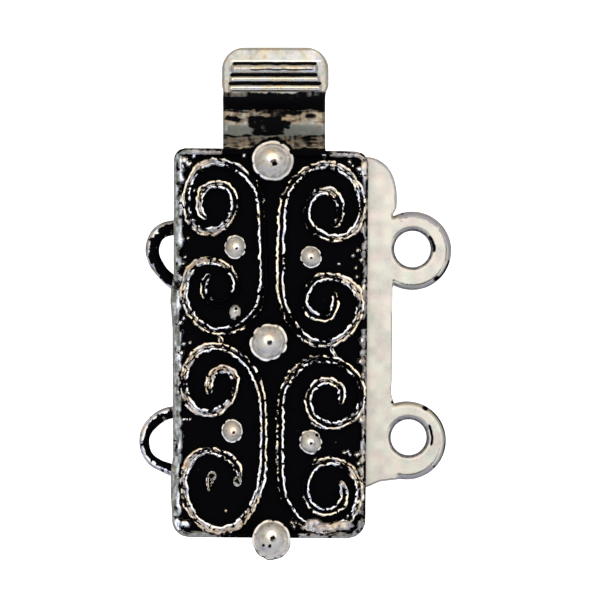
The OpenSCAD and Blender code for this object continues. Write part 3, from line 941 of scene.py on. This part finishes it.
def folded_sleeve():
    """Sleeve of folded sheet: open at the top end, slotted on the right, with its catch lips."""
    section = rounded_section(SLEEVE_LEFT, 0, SLEEVE_RIGHT, FACE_Z, FOLD_R)
    solid = new_mesh("sleeve", *lying_prism(section, -SLEEVE_HALF, SLEEVE_HALF))
    inner_left, inner_right = SLEEVE_LEFT + SHEET_T, SLEEVE_RIGHT - SHEET_T
    cavity = box(
        inner_left, -SLEEVE_HALF + SHEET_T, SHEET_T, inner_right, SLEEVE_HALF + 1, FACE_Z - SHEET_T
    )
    slot = box(inner_right - 0.1, SLOT_LOW_Y, SHEET_T, SLEEVE_RIGHT + 1, SLEEVE_HALF + 1, SLOT_TOP_Z)
    mesh = evaluated(cut_by(solid, cavity, slot), SOFT_EDGES)
    finish_piece("folded_sleeve", mesh, SLEEVE_SHEET, "sleeve")
    lip_y = SLEEVE_HALF - SHEET_T
    lip_top = FACE_Z - SHEET_T + 0.05
    lips = joined(
        box(inner_left - 0.05, lip_y, LIP_Z, NECK_LEFT, SLEEVE_HALF - 0.01, lip_top),
        box(NECK_RIGHT, lip_y, LIP_Z, inner_right + 0.05, SLEEVE_HALF - 0.01, lip_top),
    )
    mesh = evaluated(new_mesh("catch_lips", *lips), SOFT_EDGES)
    finish_piece("catch_lips", mesh, SLEEVE_SHEET, "sleeve")


def loop_piece(name, places, seed):
    """Loop of cast wire that leaves the sleeve's left wall and returns to it."""
    path = np.array([(*photo_mm(x, y, LOOP_Z), *others) for x, y, *others in places])
    path[[0, -1], 0] = SLEEVE_LEFT + SHEET_T / 2
    path = resample(spline(path), WIRE_STEP)
    along = np.arange(len(path)) * WIRE_STEP
    half = (path[:, 2] / PX_PER_MM * (1 + 0.04 * noise(along, 0, 0.4, seed)))[:, None]
    side = sideways(path)
    turn = np.linspace(0, 2 * math.pi, LOOP_SIDES, endpoint=False)[None, :]
    # A slightly squared section, so that the wire reads as a cast bar
    across, level = [np.sign(v) * np.abs(v) ** 0.8 for v in (np.cos(turn), np.sin(turn))]
    x = path[:, :1] + side[:, :1] * across * half
    y = path[:, 1:2] + side[:, 1:] * across * half
    z = LOOP_Z + level * (half * 1.05 + 0.012 * noise(x, y, 0.2, seed + 1))
    # Black on its inner half, a broken bright streak on the outer one, matt at the very edge
    edge = across + 0.18 * noise(along, 0, 0.4, seed + 2)[:, None]
    worn = 0.05 + 0.85 * smoothstep(-0.2, 0.2, -edge - path[:, 3:])
    worn = worn + 0.4 * noise(x, y, 0.14, seed + 3) + 0.2 * noise(x, y, 0.4, seed + 4)
    dull = 0.9 * smoothstep(0.74, 0.92, -edge) + 0.3 * noise(along, 0, 0.2, seed + 5)[:, None]
    swept_piece(name, (x, y, z), worn, dull, -0.06, LOOP_SILVER, "sleeve")


def left_loops():
    for seed, (name, places) in enumerate(LOOPS.items()):
        loop_piece(name, places, 300 + 10 * seed)


# Ring plate

# Right edge of the plate in photograph pixels, from its lower end up to its top: the plate is
# widest at its upper corner and has a narrow notch above each ring
PLATE_EDGE = [
    (366, 487.5), (380, 481.6), (399, 479.3), (396, 470), (388, 455), (388, 420), (391.8, 409),
    (393.6, 402), (390.8, 393), (391.8, 381), (392.5, 290), (391.8, 215), (394.0, 212.6),
    (396.6, 208), (397, 201),
]
# The plate's upper corner: a quarter of a full ellipse between two pixels, and its fullness
PLATE_CORNER = ((397, 201), (362, 156.5))
CORNER_POWER = 2.4
# Where the part of the plate that shows meets the plain part of it, in millimetres
PLATE_SEAM_X, PLATE_SEAM_LOW_Y = 3.5, -6.75
# Rings in pixels: hole x, y, radius, then outer circle x, y, radius
RINGS = [
    (412.5, 249, 18.2, 412.2, 250.7, 39.3),
    (408.7, 437.4, 17.9, 406.9, 440.5, 39.2),
]
RING_OUTER_ROUND, RING_INNER_ROUND = 0.24, 0.17
RING_SIDES = 160
VOXEL = 0.05
# Painted shade on the plate: dark spots round the tips of the rings where they meet it, and along its
# lower edge beside the face; in pixels: x, y, radius, how dark
PLATE_SHADE_SPOTS = [
    (397.5, 216.5, 1.6, 0.45), (402.5, 213.5, 1.8, 0.6), (406, 218, 1.5, 0.45), (401.5, 221, 1.8, 0.4),
    (392.5, 402, 1.8, 0.8), (391.5, 396, 1.2, 0.5), (400, 402, 1.5, 0.35), (396, 405, 1.2, 0.3),
    (369, 486, 2.2, 0.45), (374, 484.5, 2.2, 0.45), (379, 483, 1.8, 0.35),
]
# A dull strip at the plate's upper right edge, in pixels: left, right, upper, lower
DULL_STRIP = (395, 400, 190, 212)
# Marks on each ring, counted inwards from its rim or outwards from its hole: from and to how many
# pixels away, from and to what angle (counter-clockwise from the right), how dark and how matt. The
# darkness is painted shade on the rounded rims and on the bevels round the holes, and a painted dark
# reflection on the right side of each hole; the mattness is film
RING_MARKS = {
    (0, "rim"): [
        (-3, 6.0, 42, 113, 0.0, 1.0), (-3, 2.6, 20, 100, 0.25, 1.0), (-3, 4.5, 8, 42, 0.15, 1.0),
        (-3, 1.0, -20, 42, 0.6, 1.0), (4.2, 6.0, -20, 40, 0.5, 0.8), (-3, 3.6, -20, 20, 0.0, 0.9),
        (-3, 2.6, -50, -12, 0.75, 1.0), (0.5, 4.5, -54, -44, 1.0, 1.0),
        (-3, 4.5, -112, -50, 0.2, 1.0), (-3, 1.3, -112, -50, 0.6, 1.0),
    ],
    (0, "hole"): [
        (-3, 2.8, -200, 200, 0.5, 1.0), (-3, 5.0, 35, 150, 0.25, 0.9), (2.0, 4.8, -8, 38, 1.0, 1.0),
    ],
    (1, "rim"): [
        (-3, 1.6, -46, 55, 0.75, 1.0), (-1.8, 4.4, 56, 65.5, 1.0, 1.0), (-3, 1.6, 65, 105, 0.3, 0.9),
        (0.0, 3.0, -46, -41, 1.0, 1.0), (-3, 5.0, -106, -46, 0.2, 1.0),
        (-3, 1.3, -106, -46, 0.6, 1.0),
    ],
    (1, "hole"): [
        (-3, 3.0, -200, 200, 0.5, 1.0), (-3, 5.0, 20, 150, 0.3, 0.9), (4.2, 6.8, -20, 33, 1.0, 1.0),
    ],
}


def ring_solid(hole_x, hole_y, hole_r, out_x, out_y, out_r):
    """Ring with a round hole, more rounded on its outer side than at the hole."""
    turn = np.linspace(0, 2 * math.pi, RING_SIDES, endpoint=False)
    round_way = np.column_stack([np.cos(turn), np.sin(turn)]) * mm_per_px(PLATE_TOP)
    inner = np.array(photo_mm(hole_x, hole_y, PLATE_TOP)) + round_way * hole_r
    outer = np.array(photo_mm(out_x, out_y, PLATE_TOP)) + round_way * out_r
    width = np.linalg.norm(outer - inner, axis=1)
    way = (outer - inner) / width[:, None]

    def rounding(r):
        steps = np.radians([0, 22.5, 45, 67.5, 90])
        return [(r * (1 - math.cos(t)), PLATE_T - r * (1 - math.sin(t))) for t in steps]

    hole_side, far_side = rounding(RING_INNER_ROUND), rounding(RING_OUTER_ROUND)[::-1]
    sections = []
    for k in range(RING_SIDES):
        top = hole_side + [(width[k] - d, z) for d, z in far_side]
        low = [(d, PLATE_T - z) for d, z in reversed(top)]
        sections.append([(*(inner[k] + way[k] * d), PLATE_Z + z) for d, z in top + low])
    verts = np.array(sections).reshape(-1, 3)
    faces = grid_faces(RING_SIDES + 1, len(sections[0]), wrap=True)
    return verts, [[i % len(verts) for i in face] for face in faces]


def plate_shade_and_wear(x, y, z):
    """Wear, dullness and hue of the plate's body: bright but for the painted shade of its spots and of
    the rings' marks.
    """
    px, py = pixel_of(x, y, z)
    px = px + 0.5 * noise(x, y, 0.3, 61)
    py = py + 0.5 * noise(x, y, 0.3, 62)
    # dark gathers the painted shade and dark reflections of the spots and the rings' marks
    dark = np.zeros_like(x)
    matt = 0.12 + 0.2 * noise(x, y, 0.4, 63)
    for (ring, edge), marks in RING_MARKS.items():
        hole, rim = RINGS[ring][:3], RINGS[ring][3:]
        (cx, cy, radius), way = (rim, -1) if edge == "rim" else (hole, 1)
        depth = way * (np.hypot(px - cx, py - cy) - radius)
        angle = np.degrees(np.arctan2(cy - py, px - cx))
        near_ring = np.hypot(px - rim[0], py - rim[1]) < rim[2] + 3
        for near, far, start, end, darkness, mattness in marks:
            mark = within(near, far, depth, 0.9) * within(start, end, angle, 5) * near_ring
            dark = np.maximum(dark, darkness * mark)
            matt = np.maximum(matt, mattness * mark)
    # The rounded upper corner has a dull edge
    (end_x, end_y), (start_x, start_y) = PLATE_CORNER
    across, up = (px - start_x) / (end_x - start_x), (end_y - py) / (end_y - start_y)
    corner = np.clip(across, 0, 2) ** CORNER_POWER + np.clip(up, 0, 2) ** CORNER_POWER
    corner = within(0.85, 1.3, corner, 0.05) * (up > 0) * (across > 0)
    left, right, upper, lower = DULL_STRIP
    corner = np.maximum(corner, within(left, right, px, 0.7) * within(upper, lower, py, 2))
    dark, matt = np.maximum(dark, 0.25 * corner), np.maximum(matt, corner)
    hue = -0.06 * smoothstep(0.5, 0.9, matt)
    # Painted shade round the rings' tips and along the plate's lower edge
    for spot_x, spot_y, radius, darkness in PLATE_SHADE_SPOTS:
        reach = np.hypot(px - spot_x, py - spot_y)
        dark = np.maximum(dark, darkness * fade(radius - 0.8, radius + 0.8, reach))
    # Only the top carries the marks
    dark = dark * smoothstep(PLATE_TOP - 0.30, PLATE_TOP - 0.12, z)
    return 1.3 - 1.6 * dark, np.clip(matt, 0, 1), hue


def plate_strip():
    """The visible strip of the plate beside the face, with its rounded upper corner."""
    edge = [photo_mm(x, y, PLATE_TOP) for x, y in PLATE_EDGE]
    (x0, y0), (x1, y1) = [photo_mm(*p, PLATE_TOP) for p in PLATE_CORNER]
    for t in np.radians(np.linspace(7.5, 90, 12)):
        across, up = abs(math.cos(t)) ** (2 / CORNER_POWER), math.sin(t) ** (2 / CORNER_POWER)
        edge.append((x1 + (x0 - x1) * across, y0 + (y1 - y0) * up))
    outline = [(PLATE_SEAM_X, PLATE_SEAM_LOW_Y), *edge, (PLATE_SEAM_X, edge[-1][1])]
    return prism(outline, PLATE_Z, PLATE_TOP)


def ring_plate():
    """The plate that shows, with its rings, and the plain part of it inside the sleeve."""
    solids = joined(plate_strip(), *[ring_solid(*ring) for ring in RINGS])
    mesh = evaluated(
        new_mesh("ring_plate_body", *solids),
        ("REMESH", {"mode": "VOXEL", "voxel_size": VOXEL, "use_smooth_shade": True}),
        ("SMOOTH", {"factor": 0.5, "iterations": 3}),
    )
    places = np.empty(3 * len(mesh.vertices))
    mesh.vertices.foreach_get("co", places)
    worn, dull, hue = plate_shade_and_wear(*places.reshape(-1, 3).T)
    add_layers(mesh, worn=worn, dull=dull, hue=hue)
    finish_piece("ring_plate_body", mesh, BRIGHT_PLATE, "ring_plate")
    left, right, low = PLATE_LEFT, PLATE_SEAM_X, PLATE_LOW
    fold_end = low + SHEET_T
    slab = box(left, fold_end, PLATE_Z, right, PLATE_HIGH, PLATE_TOP)
    fold = box(left, low, PLATE_Z, right, fold_end - 0.05, PLATE_FOLD_Z)
    foot = box(left, low + 0.05, PLATE_Z + 0.001, right, fold_end + 0.1, PLATE_TOP - 0.001)
    mesh = evaluated(new_mesh("ring_plate_inner", *joined(slab, fold, foot)), SOFT_EDGES)
    add_layers(mesh, worn=np.full(len(mesh.vertices), 1.3))
    finish_piece("ring_plate_inner", mesh, BRIGHT_PLATE, "ring_plate")


# Spring tongue

# In millimetres: the leaf's middle, thickness and half widths, the fold it starts from, its
# shoulders, and its thumb pad
TONGUE_X = 0.27
LEAF_T = 0.4
LEAF_HALF, NECK_HALF, PAD_HALF = 3.05, 2.41, 2.51
HINGE_Y, HINGE_Z = -7.9, 1.55
SHOULDER_Y, SHOULDER_Z = 8.32, 1.88
SHOULDER_STEP = 0.01
PAD_LOW_Y, PAD_END_Y, PAD_CORNER = 11.82, 13.92, 1.05
# The rounding of the leaf's sides and of its end, and the length at its end with finer steps
LEAF_EDGE_R, PAD_END_ROUND, PAD_TIP = 0.18, 0.2, 0.35
# The neck stands a little to the left of the pad
NECK_LEAN = 0.055
# Centre line of the leaf beyond its shoulders: straight run, then bend radius and bend angle
BENDS = [(1.0, 1.6, 16), (0.15, 1.6, -17), (0.50, 0.42, 62), (0.30, 0.42, -62)]
BEND_STEPS = 18
# Ribs across the pad in pixels: y of the crest, half its width, x of its left and right end
RIBS = [(69.0, 4.6, 231, 318), (79.2, 3.2, 229, 320), (88.0, 3.6, 228, 322)]
RIB_H = 0.15
# Black lines on the pad, all painted shade: in the creases at the feet of the ribs, and a thin one
# along the first rib's crest; each with y, half width, x of the left and right end, strength
RIB_SHADE_LINES = [
    (63.5, 1.6, 232.5, 317, 1.0), (69.6, 0.8, 250, 313, 0.8), (74.9, 1.9, 230, 318, 1.0),
    (83.3, 1.9, 228.5, 321.5, 1.0),
]
# Dark bands and patches on the tongue: painted dark reflections on its bends and neck, painted shade
# along the pad's sides and where it runs under the face, and some tarnish; each from x, y to x, y in
# pixels, with its strength
TONGUE_SHADE_AND_TARNISH = [
    (0, 91.5, 600, 98, 0.62), (250, 92, 308, 98, 0.80), (0, 96.5, 600, 110, 1.0),
    (0, 109, 600, 112.5, 0.6), (228, 109, 246, 113, 0.68), (266, 109, 302, 114, 0.82),
    (220, 113, 243, 117, 0.42), (225, 116.5, 241, 121.5, 0.85), (257, 111, 268, 116, 0.6),
    (269, 111, 287, 118, 0.80), (304, 113.5, 318, 118.5, 0.78), (288, 112.5, 303, 116.5, 0.5),
    (249, 116, 282, 122, 0.95), (248, 120, 291, 129, 0.80), (251, 126, 286, 136, 0.76),
    (220, 134.5, 252, 138, 0.72), (0, 108, 600, 123, 0.36), (262, 127, 278, 135, 0.70),
    (288, 134.5, 330, 138.5, 0.58), (0, 137, 600, 148, 0.46), (284, 136, 312, 141, 0.60),
    (0, 148, 600, 170, 1.0), (216, 48, 224.5, 91, 0.34), (323, 48, 332, 91, 0.34),
    (228, 65, 320, 72.5, 0.37), (226, 84.8, 322, 88, 0.33), (0, 129, 600, 135, 0.18),
]
# Matt film: on the neck below this y in pixels; a thinner one on the pad between the ribs; and the
# line on the pad that has none, a painted highlight of bare metal above the first black line, as its
# left, right, upper and lower end in pixels
FILM_FROM = 108
PAD_FILM = 0.56
HIGHLIGHT_LINE = (231, 321, 60.2, 61.6)
# Where streaks along and across the leaf begin, as y in pixels
STREAKS_FROM, CROSS_STREAKS_FROM = 91, 109
# Warmer and cooler bands of the neck: from and to y in pixels, and the change of hue
HUE_BANDS = [(100, 124, 0.11), (124, 136, -0.12), (137, 160, 0.09)]


def tongue_line():
    """Points y, z along the leaf's middle with its heading, fine where it shows."""
    y, z = HINGE_Y, HINGE_Z
    heading = math.atan2(SHOULDER_Z - HINGE_Z, SHOULDER_Y - HINGE_Y)
    rows = [(y, z, heading)]

    def go(step, turn, count):
        nonlocal y, z, heading
        for _ in range(count):
            y += step * math.cos(heading + turn / 2)
            z += step * math.sin(heading + turn / 2)
            heading += turn
            rows.append((y, z, heading))

    def run(length, step):
        count = max(1, round(length / step))
        go(length / count, 0, count)

    run(math.hypot(SHOULDER_Y - HINGE_Y, SHOULDER_Z - HINGE_Z), 0.5)
    run(SHOULDER_STEP, SHOULDER_STEP)
    for length, radius, angle in BENDS:
        run(length, 0.05)
        turn = math.radians(angle) / BEND_STEPS
        go(2 * radius * math.sin(abs(turn) / 2), turn, BEND_STEPS)
    run(PAD_END_Y - PAD_TIP - y, 0.035)
    rest = PAD_END_Y - y
    rows += [(y + rest * math.sin(t), z, heading) for t in np.linspace(0, math.pi / 2, 15)[1:]]
    return np.array(rows)


def tongue_half_width(y):
    half = np.where(y <= SHOULDER_Y + SHOULDER_STEP / 2, LEAF_HALF, NECK_HALF)
    half = half + (PAD_HALF - NECK_HALF) * smoothstep(PAD_LOW_Y - 0.10, PAD_LOW_Y + 0.35, y)
    return half - corner_inset(PAD_CORNER, PAD_END_Y - y)


def rib_height(x, y, z):
    """Height of the ribs above the pad."""
    total = np.zeros_like(x)
    for crest, half, left, right in RIBS:
        (x0, cy), (x1, _) = photo_mm(left, crest, z), photo_mm(right, crest, z)
        across = np.clip(1 - ((y - cy) * PX_PER_MM / half) ** 2, 0, 1) ** 0.6
        ends = smoothstep(0, 0.14, x - x0) * smoothstep(0, 0.14, x1 - x)
        total = np.maximum(total, RIB_H * across * ends)
    return total


def tongue_shade_and_film(x, y, z, ribs):
    """Painted shade and dark reflections with some tarnish, matt film and hue at each point: lines
    along the ribs, bands and patches.
    """
    px, py = pixel_of(x, y, z)
    # stain gathers painted shade and dark reflections, with some tarnish
    stain = np.zeros_like(x)
    waver = 0.25 * noise(x, y * 0.1, 0.35, 40)
    for middle, half, left, right, strength in RIB_SHADE_LINES:
        rounding = half * np.sqrt(np.clip(np.minimum(px - left, right - px) / 1.5, 0, 1))
        line = fade(rounding - 0.5, rounding + 0.5, np.abs(py - middle + waver))
        stain = np.maximum(stain, strength * line * (rounding > 0))
    film = 0.9 * smoothstep(FILM_FROM - 1, FILM_FROM + 3, py)
    left, right, upper, lower = HIGHLIGHT_LINE
    # The painted highlight line is left without film, so that its bare metal shines
    lit = within(upper, lower, py, 0.5) * within(left, right, px, 2)
    film = np.maximum(film, PAD_FILM * fade(0.02, 0.08, ribs) * (1 - lit))
    px = px + 1.6 * noise(x, y * 0.5, 0.25, 43)
    py = py + 1.2 * noise(x, y * 0.2, 0.5, 41) + 0.9 * noise(x, y, 0.18, 42)
    for left, upper, right, lower, strength in TONGUE_SHADE_AND_TARNISH:
        patch = within(left, right, px, 3.2) * within(upper, lower, py, 1.7)
        stain = np.maximum(stain, strength * patch)
    # The top ball shades the neck around it
    ball_x, ball_y, ball_r = LARGE_BALLS["ball_top"][:3]
    near_ball = np.hypot(px - ball_x, py - ball_y) - ball_r
    stain = np.maximum(stain, 0.85 * fade(1.0, 5.0, near_ball))
    streaks = 0.14 * noise(x, y * 0.15, 0.12, 44) * (py > STREAKS_FROM)
    streaks = streaks + 0.16 * noise(x * 0.3, y, 0.08, 46) * (py > CROSS_STREAKS_FROM)
    film = film + 0.15 * noise(x, y * 0.3, 0.4, 45)
    hue = sum(change * within(upper, lower, py, 1) for upper, lower, change in HUE_BANDS)
    return stain + streaks, film, hue


def leaf_section(half, thick):
    """Ring of points across the leaf: offset to the right and offset upwards."""
    r = min(LEAF_EDGE_R, thick * 0.95)
    flat = half - r
    turns = np.radians([72, 54, 36, 18, 0])
    right = [(flat + r * math.cos(a), thick - r + r * math.sin(a)) for a in turns]
    right += [(x, -h) for x, h in reversed(right)]
    top = [(flat * u, thick) for u in np.linspace(-1, 1, 90)]
    low = [(flat * u, -thick) for u in np.linspace(1, -1, 14)]
    return top + right + low + [(-x, h) for x, h in reversed(right)]


def spring_tongue():
    """The leaf: its section swept along its line, with ribs raised on the pad."""
    y, z, heading = tongue_line().T
    end_round = np.clip((PAD_END_Y - y) / PAD_END_ROUND, 0, 1)
    thick = LEAF_T / 2 * np.sqrt(np.clip(1 - (1 - end_round) ** 2, 0.05, 1))
    rings = np.array([leaf_section(h, t) for h, t in zip(tongue_half_width(y), thick)])
    across, offset = rings[:, :, 0], rings[:, :, 1]
    lean = NECK_LEAN * within(SHOULDER_Y + 0.7, PAD_LOW_Y, y, 0.3)
    x = TONGUE_X + across - lean[:, None]
    yy = y[:, None] - offset * np.sin(heading)[:, None]
    zz = z[:, None] + offset * np.cos(heading)[:, None]
    ribs = rib_height(x, yy, zz) * (offset >= thick[:, None] * 0.999)
    zz = zz + ribs
    stain, film, hue = tongue_shade_and_film(x, yy, zz, ribs)
    # The painted shade, dark reflections and tarnish gathered in stain darken the leaf through worn
    worn = 1.25 - 1.65 * stain
    swept_piece("spring_tongue", (x, yy, zz), worn, film, hue, SPRING_STRIP, "tongue")


# Camera, floor and light

# Direction of the dark opening in the light tent, and the cosines of its soft edge
OPENING = (0.088, -0.279, 0.956)
OPENING_OUTER, OPENING_INNER = 0.9715, 0.975
# How bright the tent is from straight below (0) to straight above (1)
TENT_LEVELS = [
    (0.0, 0.50), (0.50, 0.30), (0.59, 0.34), (0.71, 0.52), (0.82, 0.80), (0.91, 1.15),
    (0.965, 1.70), (1.0, 1.75),
]
# Its colour from the lower side of the photograph (0) to the upper one (1)
TENT_TINTS = [(0.0, 0.80, 0.88, 1.12), (0.45, 1, 1, 1), (0.55, 1, 1, 1), (1.0, 1.14, 0.98, 0.74)]
FLOOR_HALF = 600.0


def grey(v):
    return (v, v, v, 1)


def camera_and_floor():
    scene = bpy.context.scene
    scene.view_settings.view_transform = "Standard"
    data = bpy.data.cameras.new("camera")
    scene.camera = new_object("camera", data)
    scene.camera.location = (CAMERA_X * MM, CAMERA_Y * MM, CAMERA_Z * MM)
    data.sensor_width = 36.0
    data.lens = data.sensor_width * CAMERA_ABOVE / (PHOTO_SIDE / PX_PER_MM)
    data.clip_start, data.clip_end = 0.01, 10.0

    half = FLOOR_HALF
    corners = [(-half, -half, 0), (half, -half, 0), (half, half, 0), (-half, half, 0)]
    mesh = new_mesh("floor", corners, [(0, 1, 2, 3)])
    mesh.transform(Matrix.Scale(MM, 4))
    material, graph, shader = new_material("white_floor")
    shader["Base Color"].default_value = grey(0.8)
    shader["Roughness"].default_value = 1.0
    shader["Emission Color"].default_value = grey(1.0)
    graph.feed(shader["Emission Strength"], graph.add("LightPath", "Is Camera Ray", {}))
    mesh.materials.append(material)
    new_object("floor", mesh)


def light_tent():
    """A white tent around the clasp: bright overhead, darker low down, with a round dark opening."""
    world = bpy.data.worlds.new("tent")
    bpy.context.scene.world = world
    graph = Graph(world)
    direction = graph.add("TexCoord", "Generated", {})
    axes = graph.add("SeparateXYZ", "Z", {0: direction}).node.outputs
    tent = graph.ramp(graph.remap(axes["Z"], -1, 1, 0, 1), [(at, v, v, v) for at, v in TENT_LEVELS])
    tint = graph.ramp(graph.remap(axes["Y"], -0.9, 0.9, 0, 1), TENT_TINTS)
    lit = graph.mix(1.0, tent, tint, "MULTIPLY")
    facing = graph.add("VectorMath", "Value", {0: direction, 1: OPENING}, operation="DOT_PRODUCT")
    opening = graph.remap(facing, OPENING_OUTER, OPENING_INNER, 0, 1)
    graph.feed(graph.nodes["Background"].inputs["Color"], graph.mix(opening, lit, grey(0.0)))


camera_and_floor()
light_tent()
cast_face()
scroll_wires()
balls()
folded_sleeve()
left_loops()
ring_plate()
spring_tongue()
